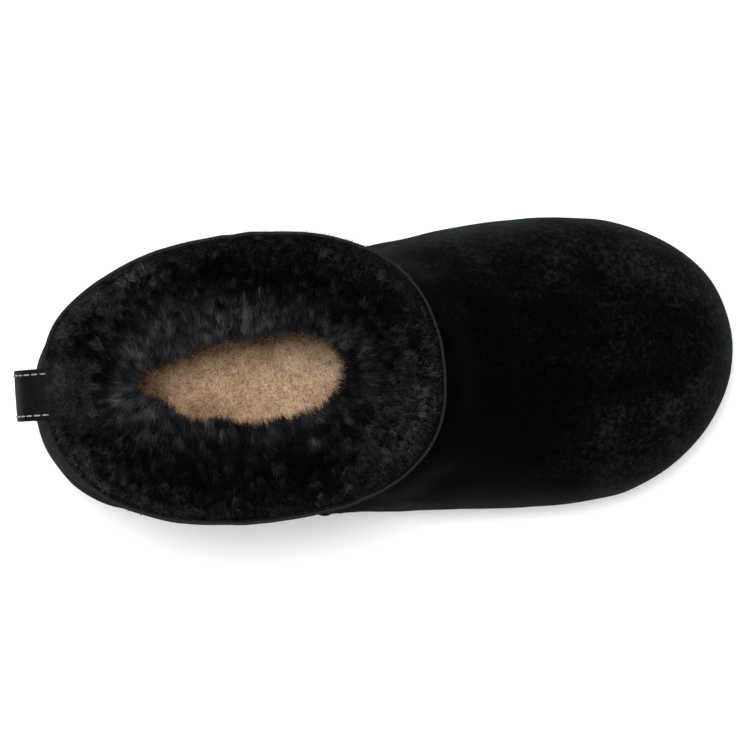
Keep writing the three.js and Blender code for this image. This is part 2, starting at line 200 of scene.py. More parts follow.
def patches_at(points, patches):
    """The sum of soft round patches, each given as its place in plan, its spread (mm) and its strength."""
    flat = (points - SHIFT)[..., :2]
    total = 0
    for at, spread, strength in patches:
        total = total + strength * bell(length(flat - MM * np.array(at)), spread * MM)
    return total


def spring(x):
    return TOE_SPRING * (np.maximum(0, x - SPRING_START) / (SOLE_TOE_END - SPRING_START)) ** 2


def sole_bottom(x):
    """Height of the outsole's underside. x counts from the tables' own origin."""
    rise = ease(x, ARCH_FROM, ARCH_FROM + ARCH_SLOPE) * (1 - ease(x, ARCH_TO - ARCH_SLOPE, ARCH_TO))
    return spring(x) + ARCH_RISE * rise


def sole_top(x):
    level = SOLE_HEEL + (SOLE_FOREFOOT - SOLE_HEEL) * ease(x, WAIST_FROM, WAIST_TO)
    return level + TOP_SPRING * spring(x)


def lattice(i, seed):
    """A repeatable random number from -1 to 1 for each whole-numbered point."""
    h = i[..., 0] * 73856093 ^ i[..., 1] * 19349663 ^ i[..., 2] * 83492791 ^ (seed * 97531 + 12345)
    h = (h ^ (h >> 13)) * 1274126177
    h = (h ^ (h >> 16)) & 0xFFFF
    return h / 32767.5 - 1


def lumps(points, size, seed):
    """Smooth noise from about -1 to 1 with lumps of a given size, at each point."""
    q = np.asarray(points) / size
    i = np.floor(q).astype(np.int64)
    f = q - i
    f = f * f * (3 - 2 * f)
    total = np.zeros(q.shape[:-1])
    for corner in np.ndindex(2, 2, 2):
        weight = np.prod(np.where(corner, f, 1 - f), axis=-1)
        total += weight * lattice(i + np.array(corner), seed)
    return total


def layered_lumps(points, layers):
    """Noise from layers of lumps, each given as its strength, the lumps' size and its own seed."""
    return sum(strength * lumps(points, size, SEED + seed) for strength, size, seed in layers)


def noise_vectors(points, size, seed):
    return np.stack([lumps(points, size, seed + k) for k in range(3)], -1)


def run_along(path):
    """How far along a path each of its points is."""
    return np.concatenate([[0], np.cumsum(length(np.diff(path, axis=0)))])


def values_at(where, run, values):
    """Values that are known at the points of a path, at other lengths along it."""
    return np.stack([np.interp(where, run, column) for column in values.T], -1)


def evenly(path, count):
    """Points at even lengths along a path."""
    run = run_along(path)
    return values_at(np.linspace(0, run[-1], count), run, path)


def smooth_line(corners, count, fineness):
    """Evenly spaced points on a smooth curve through corners, from fineness places for each corner."""
    places = np.linspace(0, len(corners) - 1, fineness * len(corners))
    line = spline(corners, places, 2 * corners[0] - corners[1], 2 * corners[-1] - corners[-2])
    return evenly(line, count)


def point_tree(points):
    """A tree that finds the nearest of some points."""
    tree = KDTree(len(points))
    for number, point in enumerate(points):
        tree.insert(point, number)
    tree.balance()
    return tree


def distance_to_path(points, path):
    """The distance from each point to a chain of straight lines, and how far along the chain it is."""
    best = np.full(points.shape[:-1], np.inf)
    along = np.zeros(points.shape[:-1])
    for k in range(len(path) - 1):
        a, step = path[k], path[k + 1] - path[k]
        t = np.clip(((points - a) @ step) / (step @ step), 0, 1)
        d = length(points - (a + t[..., None] * step))
        nearer = d < best
        best = np.where(nearer, d, best)
        along = np.where(nearer, (k + t) / (len(path) - 1), along)
    return best, along


# ------------------------------------------------------------------ meshes


def add_object(mesh, materials):
    """An object with its mesh's name."""
    piece = bpy.data.objects.new(mesh.name, mesh)
    bpy.context.scene.collection.objects.link(piece)
    for material in materials:
        mesh.materials.append(material)
    return piece


def triangle_mesh(name, points, triangles, slots):
    """A mesh from arrays of points, triangles and each triangle's material slot."""
    mesh = bpy.data.meshes.new(name)
    mesh.vertices.add(len(points))
    mesh.vertices.foreach_set("co", np.ascontiguousarray(points, np.float32).ravel())
    mesh.loops.add(triangles.size)
    mesh.loops.foreach_set("vertex_index", np.ascontiguousarray(triangles, np.int32).ravel())
    mesh.polygons.add(len(triangles))
    mesh.polygons.foreach_set("loop_start", np.arange(0, triangles.size, 3, dtype=np.int32))
    mesh.polygons.foreach_set("material_index", np.ascontiguousarray(slots, np.int32))
    mesh.update()
    return mesh


def grid_faces(rows, columns, inside_out=False):
    """Quads of a grid whose columns close on themselves, facing out for a form built from the toe."""
    r, c = np.meshgrid(np.arange(rows - 1), np.arange(columns), indexing="ij")
    low, high, d = r * columns, (r + 1) * columns, (c + 1) % columns
    quads = np.stack([high + c, high + d, low + d, low + c], -1).reshape(-1, 4)
    return quads[:, ::-1] if inside_out else quads


def grid_bmesh(grid, inside_out=False, merged=0.01 * MM):
    """A bmesh of a grid of points, with those that are closer than merged joined to one."""
    bm = bmesh.new()
    corners = [bm.verts.new(p) for p in grid.reshape(-1, 3)]
    for quad in grid_faces(*grid.shape[:2], inside_out):
        bm.faces.new([corners[i] for i in quad])
    bmesh.ops.remove_doubles(bm, verts=bm.verts, dist=merged)
    return bm


def cut_above_sole(bm):
    """Cuts a bmesh just over the sole's top, and keeps what is above."""
    for v in bm.verts:
        v.co.z -= float(sole_top(v.co.x - SHIFT[0]) + SOLE_GAP)
    everything = bm.verts[:] + bm.edges[:] + bm.faces[:]
    level = {"plane_co": (0, 0, 0), "plane_no": (0, 0, 1), "dist": 1e-7}
    bmesh.ops.bisect_plane(bm, geom=everything, clear_inner=True, **level)
    for v in bm.verts:
        v.co.z += float(sole_top(v.co.x - SHIFT[0]) + SOLE_GAP)


def finished(bm, name):
    mesh = bpy.data.meshes.new(name)
    bm.to_mesh(mesh)
    bm.free()
    mesh.polygons.foreach_set("use_smooth", [True] * len(mesh.polygons))
    return mesh


def ring_mesh(name, rings):
    """A closed mesh from rings of points. The first and the last shrink to a point or a line."""
    bm = grid_bmesh(rings, True, 0.02 * MM)
    bmesh.ops.recalc_face_normals(bm, faces=bm.faces)
    return finished(bm, name)


def capped(rings):
    """Rings of points, with a ring that is a single point added at both ends."""
    first, last = (end.mean(1, keepdims=True).repeat(rings.shape[1], 1) for end in (rings[:1], rings[-1:]))
    return np.concatenate([first, rings, last])


def rounded_corner(half_width, height, radius):
    """A quarter circle from a section's top to its right side."""
    turn = np.linspace(0, np.pi / 2, 5)
    centre = np.array([half_width - radius, height - radius])
    return centre + radius * np.stack([np.sin(turn), np.cos(turn)], -1)


def thicken(piece, thickness, edge_slot=0):
    """Gives a sheet its thickness, behind its faces."""
    solid = piece.modifiers.new("thickness", "SOLIDIFY")
    solid.thickness = thickness
    solid.offset = -1
    solid.material_offset_rim = edge_slot
    depsgraph = bpy.context.evaluated_depsgraph_get()
    made = bpy.data.meshes.new_from_object(piece.evaluated_get(depsgraph))
    made.name = piece.data.name
    piece.modifiers.clear()
    piece.data = made


# ------------------------------------------------------------------ material helpers


def new_material(name, roughness, **constants):
    """A material, its node tree and its shader, with constants set on the shader's own sockets."""
    material = bpy.data.materials.new(name)
    material.use_nodes = True
    shader = material.node_tree.nodes["Principled BSDF"]
    shader.inputs["Roughness"].default_value = roughness
    for socket, value in constants.items():
        shader.inputs[socket.replace("_", " ")].default_value = value
    return material, material.node_tree, shader


def grey(value, tint=(1, 1, 1)):
    return tuple(value * t for t in tint) + (1,)


def add_node(tree, kind, inputs):
    """A node, with a value or a link on each of some inputs."""
    node = tree.nodes.new(kind)
    for name, value in inputs.items():
        if isinstance(value, bpy.types.NodeSocket):
            tree.links.new(value, node.inputs[name])
        else:
            node.inputs[name].default_value = value
    return node


def noise_node(tree, scale, detail, roughness, vector=None):
    inputs = {"Scale": scale, "Detail": detail, "Roughness": roughness}
    inputs["Vector"] = vector or object_coordinates(tree)
    return add_node(tree, "ShaderNodeTexNoise", inputs).outputs["Fac"]


def object_coordinates(tree):
    for node in tree.nodes:
        if node.type == "TEX_COORD":
            return node.outputs["Object"]
    return tree.nodes.new("ShaderNodeTexCoord").outputs["Object"]


def ramp_node(tree, factor, stops):
    node = tree.nodes.new("ShaderNodeValToRGB")
    elements = node.color_ramp.elements
    while len(elements) < len(stops):
        elements.new(0.5)
    for element, (position, colour) in zip(elements, stops):
        element.position = position
        element.color = colour
    tree.links.new(factor, node.inputs["Fac"])
    return node.outputs["Color"]


def math_node(tree, operation, a, b):
    node = add_node(tree, "ShaderNodeMath", {0: a, 1: b})
    node.operation = operation
    return node.outputs[0]


def weighted_sum(tree, a, a_share, b, b_share):
    a_part = math_node(tree, "MULTIPLY", a, a_share)
    b_part = math_node(tree, "MULTIPLY", b, b_share)
    return math_node(tree, "ADD", a_part, b_part)


def add_bump(tree, shader, height, distance, strength=1.0):
    node = add_node(tree, "ShaderNodeBump", {"Distance": distance, "Strength": strength, "Height": height})
    tree.links.new(node.outputs["Normal"], shader.inputs["Normal"])


def mottled_material(name, roughness, specular, noise, stops, relief):
    """A material with one noise, of a scale, detail and roughness, for both its colour and its relief."""
    material, tree, shader = new_material(name, roughness, Specular_IOR_Level=specular)
    mottle = noise_node(tree, *noise)
    tree.links.new(ramp_node(tree, mottle, stops), shader.inputs["Base Color"])
    add_bump(tree, shader, mottle, relief)
    return material


# ------------------------------------------------------------------ materials

NAP_COLOURS = [
    (0.37, (0.0002, 0.0005, 0.0006, 1)), (0.47, (0.0012, 0.0019, 0.0023, 1)),
    (0.55, (0.0052, 0.0067, 0.0075, 1)), (0.67, (0.0145, 0.0168, 0.0182, 1)),
]
# Painted shade on the suede, darkest over the vamp below the collar and down its lateral side, and smaller
# darker and lighter patches: a place on the boot, the distance from it up to which this is full, the distance
# at which it is gone (mm), and by how much.
NAP_PATCHES_AND_SHADE = [
    ((36, -10, 84), 12, 75, -0.10), ((30, -36, 76), 30, 110, -0.07), ((28, -42, 62), 8, 34, -0.05),
    ((106, 5, 52), 7, 28, -0.11), ((80, 22, 64), 6, 24, -0.05), ((92, 4, 60), 4, 17, 0.05),
    ((82, -34, 56), 4, 20, 0.05), ((94, -24, 56), 4, 14, -0.04), ((6, 40, 84), 4, 30, -0.05),
]


def suede_material():
    """Black suede: fine napped fibres, brushed into soft strokes that lie lighter or darker, with painted shade
    over the vamp added to its colour.
    """
    material, tree, shader = new_material(
        "black_suede",
        0.95,
        Specular_IOR_Level=0.01,
        Sheen_Weight=0.068,
        Sheen_Roughness=0.38,
        Sheen_Tint=(0.28, 0.36, 0.41, 1),
    )
    turned = {"Vector": object_coordinates(tree), "Scale": (1.0, 1.6, 1.2), "Rotation": (0.2, 0.1, 0.5)}
    strokes = add_node(tree, "ShaderNodeMapping", turned)
    brushed = noise_node(tree, 55, 4, 0.6, strokes.outputs["Vector"])
    grain = noise_node(tree, 520, 5, 0.75)
    fuzz = noise_node(tree, 1500, 3, 0.7)
    # The nap's noise, with the painted shade over the vamp added to it.
    nap_and_shade = math_node(tree, "ADD", weighted_sum(tree, brushed, 0.36, grain, 0.64), nap_patches_and_shade(tree))
    tree.links.new(ramp_node(tree, nap_and_shade, NAP_COLOURS), shader.inputs["Base Color"])
    add_bump(tree, shader, weighted_sum(tree, grain, 0.7, fuzz, 0.3), 0.7 * MM, 0.8)
    return material


def nap_patches_and_shade(tree):
    """How much darker or lighter the suede's colour is painted: painted shade, darkest over the middle of the
    vamp below the collar, and smaller darker and lighter patches.
    """
    total = 0.0
    for place, full, gone, change in NAP_PATCHES_AND_SHADE:
        where = tuple(np.array(place) * MM + SHIFT)
        away = add_node(tree, "ShaderNodeVectorMath", {0: object_coordinates(tree), 1: where})
        away.operation = "DISTANCE"
        ends = {"From Min": full * MM, "From Max": gone * MM, "To Min": change, "To Max": 0.0}
        spread = add_node(tree, "ShaderNodeMapRange", {"Value": away.outputs["Value"], **ends})
        spread.interpolation_type = "SMOOTHSTEP"
        total = math_node(tree, "ADD", total, spread.outputs["Result"])
    return total


def suede_edge_material():
    """The raw cut edge of the skin, greyer than its faces."""
    stops = [(0.3, grey(0.005)), (0.7, grey(0.020))]
    return mottled_material("suede_cut_edge", 0.95, 0.05, (1400, 3, 0.6), stops, 0.3 * MM)


def pile_base_material():
    stops = [(0.35, (0.0010, 0.0013, 0.0018, 1)), (0.7, (0.0040, 0.0048, 0.0060, 1))]
    return mottled_material("pile_base", 1.0, 0.0, (500, 4, 0.6), stops, 0.8 * MM)


def fibre_materials(name, shades, roughness, specular):
    """One material for each shade of fibre, from dark to light."""
    return [
        new_material(f"{name}_{n}", roughness, Base_Color=(*shade, 1), Specular_IOR_Level=specular)[0]
        for n, shade in enumerate(shades, 1)
    ]


def fleece_base_material():
    stops = [(0.35, (0.25, 0.155, 0.09, 1)), (0.7, (0.50, 0.36, 0.24, 1))]
    return mottled_material("fleece_base", 1.0, 0.0, (300, 4, 0.6), stops, 1.2 * MM)


def rubber_material():
    material, tree, shader = new_material("black_rubber", 0.66, Specular_IOR_Level=0.12)
    cells = noise_node(tree, 700, 3, 0.6)
    marks = noise_node(tree, 60, 3, 0.5)
    colour = ramp_node(tree, marks, [(0.35, grey(0.0045)), (0.7, grey(0.0085))])
    tree.links.new(colour, shader.inputs["Base Color"])
    rough = ramp_node(tree, marks, [(0.3, grey(0.55)), (0.7, grey(0.75))])
    tree.links.new(rough, shader.inputs["Roughness"])
    add_bump(tree, shader, cells, 0.12 * MM, 0.7)
    return material


def strap_material():
    """Black leather of the strap, with a fine grain."""
    material, tree, shader = new_material("strap_leather", 0.55, Specular_IOR_Level=0.035)
    inputs = {"Scale": 1300, "Vector": object_coordinates(tree)}
    grain = add_node(tree, "ShaderNodeTexVoronoi", inputs)
    wear = noise_node(tree, 160, 4, 0.6)
    colour = ramp_node(tree, wear, [(0.35, grey(0.0014)), (0.7, grey(0.0040))])
    tree.links.new(colour, shader.inputs["Base Color"])
    add_bump(tree, shader, grain.outputs["Distance"], 0.12 * MM, 0.8)
    return material


def thread_material(name, dark, light):
    return mottled_material(name, 0.7, 0.1, (2200, 2, 0.5), [(0.35, dark), (0.65, light)], 0.1 * MM)


# ------------------------------------------------------------------ the camera, floor and lights

CAMERA_HEIGHT = 1.5
CAMERA_LENS = 183.7
CAMERA_TURN = -3.95  # degrees
CAMERA_OFFSET = -0.2 * MM
FLOOR_HALF = 3.0


def make_camera():
    """Straight down on the boot, as the photograph is taken, with the toe a little up to the right."""
    data = bpy.data.cameras.new("camera")
    data.lens = CAMERA_LENS
    data.sensor_width = 36
    data.clip_end = 10
    camera = bpy.data.objects.new("camera", data)
    camera.location = (SHIFT[0] + CAMERA_OFFSET, SHIFT[1] + CAMERA_OFFSET, CAMERA_HEIGHT)
    camera.rotation_euler = (0, 0, math.radians(CAMERA_TURN))
    bpy.context.scene.collection.objects.link(camera)
    bpy.context.scene.camera = camera


def make_floor():
    mesh = bpy.data.meshes.new("floor")
    corners = [(x * FLOOR_HALF, y * FLOOR_HALF, 0) for x, y in ((-1, -1), (1, -1), (1, 1), (-1, 1))]
    mesh.from_pydata(corners, [], [(0, 1, 2, 3)])
    material, _, _ = new_material("floor_white", 0.9, Base_Color=grey(0.92), Specular_IOR_Level=0.0)
    add_object(mesh, [material])


def add_area_light(name, place, size, watts):
    data = bpy.data.lights.new(name, "AREA")
    data.shape = "DISK"
    data.size = size
    data.energy = watts
    light = bpy.data.objects.new(name, data)
    light.location = place
    light.rotation_euler = (-Vector(place)).to_track_quat("-Z", "Y").to_euler()
    bpy.context.scene.collection.objects.link(light)


def make_lights():
    """A pale room all round, a large soft light overhead, and a weaker one on the medial side."""
    world = bpy.data.worlds.new("studio")
    world.use_nodes = True
    background = world.node_tree.nodes["Background"]
    background.inputs["Color"].default_value = (1, 1, 1, 1)
    background.inputs["Strength"].default_value = 0.8
    bpy.context.scene.world = world
    add_area_light("overhead", (-0.10, 0.20, 2.2), 0.7, 42)
    add_area_light("medial_soft_box", (-0.2, 1.2, 0.9), 0.8, 4)
    bpy.context.scene.view_settings.view_transform = "Standard"


# ------------------------------------------------------------------ the suede upper

SKIN_RINGS = 188
SKIN_AROUND = 178
SOLE_GAP = 0.3 * MM  # between the sole's top and what stands on it

# Creases, each a path over the skin in the tables' x, y and z (mm), then depth and half width (mm).
CREASES = [
    # Across the front of the ankle, where the vamp turns up into the shaft.
    ([(34, 24, 84), (39, 10, 88), (40, -6, 88), (36, -22, 84)], 1.2, 7.0),
    ([(12, 48, 58), (19, 43, 69), (27, 34, 79)], 1.4, 7.5),
    ([(10, -52, 56), (17, -47, 67), (26, -36, 78)], 1.4, 7.5),
    # Down the medial side, from the ankle towards the heel and the arch.
    ([(0, 52, 74), (-22, 51, 60), (-46, 46, 50), (-66, 44, 46)], 2.2, 8.0),
    ([(-16, 50, 96), (-44, 48, 84), (-72, 45, 78)], 1.4, 8.0),
    ([(8, 52, 46), (-12, 51, 36), (-34, 48, 31)], 1.4, 6.5),
    ([(-84, 43, 62), (-104, 34, 54), (-118, 22, 50)], 1.3, 7.0),
    # Down the lateral side.
    ([(0, -54, 72), (-24, -54, 58), (-48, -52, 49), (-70, -50, 45)], 2.3, 8.0),
    ([(-14, -52, 95), (-42, -51, 83), (-74, -48, 76)], 1.6, 8.0),
    ([(10, -56, 45), (-10, -55, 36), (-32, -53, 31)], 1.4, 6.5),
    ([(-86, -46, 64), (-106, -38, 55), (-120, -22, 52)], 1.3, 7.0),
    # Over the vamp, soft dents behind the toe box.
    ([(86, 36, 52), (80, 44, 40), (74, 52, 30)], 1.0, 7.0),
    ([(88, -34, 52), (82, -43, 40), (76, -52, 30)], 1.0, 7.0),
]
# Where the skin stands fuller than its plain form: a place in plan, its spread (mm), and how far it stands.
SWELLS = [((-111, 27), 17, 2.1 * MM), ((70, 54), 40, 0.5 * MM), ((-128, 4), 14, 0.8 * MM)]
# Seams: down the middle of the back, and down each side from the rim to the sole.
BACK_SEAM = [
    (-120.4, 0.6, 93.5), (-122.3, 0.2, 83), (-125, -0.8, 71), (-128, -2, 56), (-129.4, -3, 42),
    (-128, -3.2, 30), (-124, -2.6, 19.5),
]
MEDIAL_SEAM = [
    (-47, 54, 126.6), (-45, 51, 110), (-41, 48, 90), (-33, 47, 66), (-23, 49, 42), (-15, 47, 17.5)
]
LATERAL_SEAM = [
    (-47, -52, 126.6), (-45, -49, 110), (-41, -48, 90), (-33, -50, 66), (-23, -54, 42), (-15, -53, 17.5)
]
SEAM_DEPTH = 0.9 * MM
SEAM_WIDTH = 2.4 * MM
SEAM_SWELL = 0.5 * MM
SEAM_SWELL_WIDTH = 6 * MM
WELT_WIDTH = 2.8 * MM
WELT_HEIGHT = 0.9 * MM
WELT_EDGE = 0.85 * MM  # radius of its rounded edges
BACK_STRIP_WIDTH = 12 * MM
BACK_STRIP_HEIGHT = 1.0 * MM
BACK_STRIP_EDGE = 0.6 * MM
SEAM_STITCH_OFFSET = 2.9 * MM  # from a side seam to its rows of stitches
SEAM_STITCH = 2.4 * MM
SEAM_STITCH_GAP = 0.9 * MM
SEAM_THREAD = 0.26 * MM  # radius
BACK_STITCH_INSET = 1.8 * MM  # from the strip's edges
STRIP_SUNK = 0.5 * MM  # how deep the strips' undersides lie in the skin
STRIP_STATIONS = 150
STRIP_END = 0.06  # share of a strip that tapers, at each end
SOFTNESS = [(0.5 * MM, 27 * MM, 0), (0.22 * MM, 11 * MM, 1)]  # layers of lumps: height, size and seed
TUCK = 1.1 * MM  # how far the skin draws in where it meets the sole
RIM_WAVE = 0.3 * MM


def on_boot(path):
    """A path given in the tables' millimetres, in the frame."""
    return np.array(path, float) * MM + SHIFT


def seam_relief(points):
    """A narrow groove along each seam, in a slight swelling."""
    total = np.zeros(points.shape[:-1])
    for path in (MEDIAL_SEAM, LATERAL_SEAM):
        away, _ = distance_to_path(points, on_boot(path))
        total += SEAM_SWELL * bell(away, SEAM_SWELL_WIDTH) - SEAM_DEPTH * bell(away, SEAM_WIDTH)
    return total


def crease_relief(points):
    """Soft troughs, each with a low ridge on both sides, fading out at its ends."""
    total = np.zeros(points.shape[:-1])
    for path, depth, width in CREASES:
        away, along = distance_to_path(points, on_boot(path))
        q = away / (width * MM)
        fade = ease(along, 0, 0.25) * ease(1 - along, 0, 0.25)
        total += depth * MM * (0.35 + 0.65 * fade) * (0.45 * bell(q - 1.7, 1) - bell(q, 1))
    return total


def skin_relief(points):
    """How far the skin stands out from its plain form: padded softness, creases, seams and a wavy rim."""
    x, z = points[..., 0] - SHIFT[0], points[..., 2]
    over_sole = z - sole_top(x)
    body = ease(over_sole, 1 * MM, 14 * MM)
    rim = 1 - ease(z, RIM_HEIGHT - 26 * MM, RIM_HEIGHT - 8 * MM) * (x < 30 * MM)
    tuck = -TUCK * (1 - ease(over_sole, 0, 5 * MM))
    wavy = RIM_WAVE * lumps(points, 9 * MM, SEED + 6) * (1 - rim)
    plain = (layered_lumps(points, SOFTNESS) + crease_relief(points)) * body * (0.25 + 0.75 * rim)
    return plain + patches_at(points, SWELLS) + seam_relief(points) + tuck + wavy


def skin_surface():
    """The skin's outer face as a grid of points."""
    grid = form(OUTSIDE, np.linspace(0, len(OUTSIDE) - 1, SKIN_RINGS), SKIN_AROUND)
    return grid + outward(grid) * skin_relief(grid)[..., None]


def surface_finder(grid):
    """A function that brings points onto a grid's surface and gives the outward side there."""
    points, normals = grid.reshape(-1, 3), outward(grid).reshape(-1, 3)
    tree = point_tree(points)

    def onto(wanted):
        flat = wanted.reshape(-1, 3)
        found = np.array([[k for _, k, _ in tree.find_n(p, 4)] for p in flat])
        out = unit(normals[found].mean(1))
        near = points[found].mean(1)
        on = flat + out * ((near - flat) * out).sum(-1, keepdims=True)
        return on.reshape(wanted.shape), out.reshape(wanted.shape)

    return onto


def strip_on_skin(name, onto, path, section, material):
    """A strip laid along a path on the skin. Its section is a loop of places across, and heights over it.
    Returns its middle line, and the directions across it."""
    line, out = onto(smooth_line(on_boot(path), STRIP_STATIONS, 40))
    across = unit(np.cross(out, unit(np.gradient(line, axis=0))))
    spots, up = onto(line[:, None] + across[:, None] * section[:, :1])
    number = np.arange(STRIP_STATIONS)
    from_end = np.minimum(number, number[::-1]) / (STRIP_STATIONS - 1)
    taper = 0.15 + 0.85 * ease(from_end, 0, STRIP_END)[:, None, None]
    rings = spots + up * section[:, 1:] * np.where(section[:, 1:] > 0, taper, 1)
    piece = add_object(ring_mesh(name, capped(rings)), [material])
    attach(piece, "root")
    return line, across


def rounded_strip(width, height, edge):
    """The section of a strip with rounded edges: across and height, round from its buried left corner."""
    half = width / 2
    right = rounded_corner(half, height, edge)
    left = right[::-1] * [-1, 1]
    middle = np.stack([np.linspace(-half + edge, half - edge, 7)[1:-1], np.full(5, height)], -1)
    return np.concatenate([[[-half, -STRIP_SUNK]], left, middle, right, [[half, -STRIP_SUNK]]])


def make_seams(grid):
    """A welt down each side seam and a strip down the back, each with a row of stitches along both sides."""
    onto = surface_finder(grid)
    suede = bpy.data.materials["black_suede"]
    welt = rounded_strip(WELT_WIDTH, WELT_HEIGHT, WELT_EDGE)
    lines = []
    for name, path in (("welt_medial", MEDIAL_SEAM), ("welt_lateral", LATERAL_SEAM)):
        line, across = strip_on_skin(name, onto, path, welt, suede)
        lines += [onto(line + across * side * SEAM_STITCH_OFFSET) for side in (-1, 1)]
    strip = rounded_strip(BACK_STRIP_WIDTH, BACK_STRIP_HEIGHT, BACK_STRIP_EDGE)
    line, across = strip_on_skin("back_strip", onto, BACK_SEAM, strip, suede)
    for side in (-1, 1):
        spots, up = onto(line + across * side * (BACK_STRIP_WIDTH / 2 - BACK_STITCH_INSET))
        lines.append((spots + up * BACK_STRIP_HEIGHT, up))
    black_thread = thread_material("black_thread", grey(0.010), grey(0.030))
    stitches("seam_stitches", lines, SEAM_STITCH, SEAM_STITCH_GAP, SEAM_THREAD, black_thread)


def make_upper():
    grid = skin_surface()
    bm = grid_bmesh(grid)
    cut_above_sole(bm)
    piece = add_object(finished(bm, "upper_skin"), [suede_material(), suede_edge_material()])
    thicken(piece, SKIN, edge_slot=1)
    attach(piece, "root")
    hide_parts("upper")
    make_seams(grid)


# ------------------------------------------------------------------ the pile

PILE_DEPTH = 8 * MM  # from the tips' level to the base
PILE_BACKING = 1.4 * MM  # of wool too dense to show, against the skin
PILE_BASE_THICKNESS = 1 * MM
PILE_BASE_GRID = (110, 110)  # rings, and points round each
PILE_BASE_RELIEF = 0.9 * MM
RIM_ROW = len(INSIDE) - 1
RIM_ROW_OUTSIDE = len(OUTSIDE) - 1
LOWEST_TUFTS = 11.2  # the lowest row of the inside form with long strands
TUFTS = 2300
PILE_PIECES = 4
FINE_PILE_PIECES = 2  # whose strands have one more bend
PILE_STRANDS = 30500  # in each piece
PILE_GRID = (90, 300)  # rows and columns of the grid that the strands are spread over
# The strands are painted darker towards their roots: painted shade deep in the pile.
PILE_STEPS = (-2.0, -0.4, 0.5)  # how many shades lighter than its tone a strand is, from root to tip
# Where the wool closes in on the opening: a place in plan, its spread, and how far in it comes (mm).
THROAT_TUFTS = [
    ((-86, -13), 11, 5.6), ((-98, -2), 9, 2.5), ((-9, -14), 9, 3.5), ((-88, 16), 8, 1.5),
    ((-74, 14), 14, 2.3), ((-90, 5), 7, 1.6), ((-65, -13), 9, 1.2), ((-28, -13), 9, 1.0),
    ((-8, 1), 13, 1.3), ((-48, 17), 13, 1.0),
]
# Painted light and shade on the pile: a place in plan, how far this spreads (mm), and by how many
# shades it is lighter or darker.
PILE_LIGHT_AND_SHADE = [
    ((-52, -22), 17, -1.5), ((-74, -28), 13, -1.0), ((-28, -26), 13, -1.3), ((-6, 24), 12, -1.7),
    ((-38, 40), 16, -0.9), ((-55, 36), 11, -0.5), ((-92, 42), 15, 1.0), ((-98, 12), 10, -0.9),
    ((-106, -26), 12, 0.5), ((10, -17), 17, 2.3), ((8, 16), 9, 0.5), ((-46, 17), 16, 0.5),
    ((-8, -15), 9, -1.6), ((-5, 0), 9, -1.0), ((-96, 24), 11, 1.1), ((6, 36), 9, 0.7),
    ((-50, -35), 11, -0.6),
]
PILE_MOTTLE = [(0.7, 13 * MM, 4), (0.65, 6 * MM, 5)]  # layers of lumps: strength in shades, size and seed
RIM_WOOL = 19000
SPILLING = 0.26  # of the wool at the rim, between two shares of a turn from the medial side to the front
SPILL_FROM = -0.20
SPILL_TO = 0.12
TAB_WOOL = 12500
# Where the wool over the pull tab's inner end is rooted, x and z from outside in (mm).
WOOL_OVER_TAB = MM * np.array(
    [(-116.6, 133.1), (-113.5, 133), (-110.6, 131.3), (-109, 126.5), (-106.6, 119), (-103.5, 113)]
)
PILE_SHADES = [
    (0.0010, 0.0014, 0.0019), (0.0040, 0.0050, 0.0063), (0.0120, 0.0138, 0.0165),
    (0.0285, 0.0315, 0.0365), (0.0550, 0.0600, 0.0680), (0.1000, 0.1070, 0.1180),
]


def pile_depth(grid):
    """How far the base of the pile lies behind its tips: less where the wall is thin."""
    skin = point_tree(form(OUTSIDE, np.linspace(0, RIM_ROW_OUTSIDE, 260), 180).reshape(-1, 3))
    wall = np.array([skin.find(p)[2] for p in grid.reshape(-1, 3)]).reshape(grid.shape[:2])
    return np.clip(wall - SKIN - PILE_BACKING, 0.4 * MM, PILE_DEPTH)


def make_pile_base():
    """The wool under the tips, from the toe to the rim, as one closed sheet."""
    grid = form(INSIDE, np.linspace(0, RIM_ROW, PILE_BASE_GRID[0]), PILE_BASE_GRID[1])
    depth = pile_depth(grid)
    relief = PILE_BASE_RELIEF * lumps(grid, 4 * MM, SEED + 2) * ease(depth, 3 * MM, 6 * MM)
    grid = grid + outward(grid) * (depth - np.abs(relief))[..., None]
    bm = grid_bmesh(grid, inside_out=True)
    cut_above_sole(bm)
    piece = add_object(finished(bm, "pile_base"), [pile_base_material()])
    thicken(piece, PILE_BASE_THICKNESS)
    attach(piece, "root")


def scatter(grid, weights, count, rng):
    """Points spread over a grid, by area and weight: their cells, and their places in the cells."""
    a = grid[:-1]
    area = length(np.cross(grid[1:] - a, np.roll(a, -1, 1) - a)) * weights[:-1]
    chance = np.cumsum(area.ravel())
    cell = np.searchsorted(chance, rng.random(count) * chance[-1])
    row, column = np.unravel_index(np.minimum(cell, area.size - 1), area.shape)
    return row, column, rng.random(count), rng.random(count)


def sample(grid, row, column, u, v):
    """A value of a grid at places inside its cells."""
    after = (column + 1) % grid.shape[1]
    u, v = u[:, None], v[:, None]
    low = grid[row, column] * (1 - v) + grid[row, after] * v
    high = grid[row + 1, column] * (1 - v) + grid[row + 1, after] * v
    return low * (1 - u) + high * u


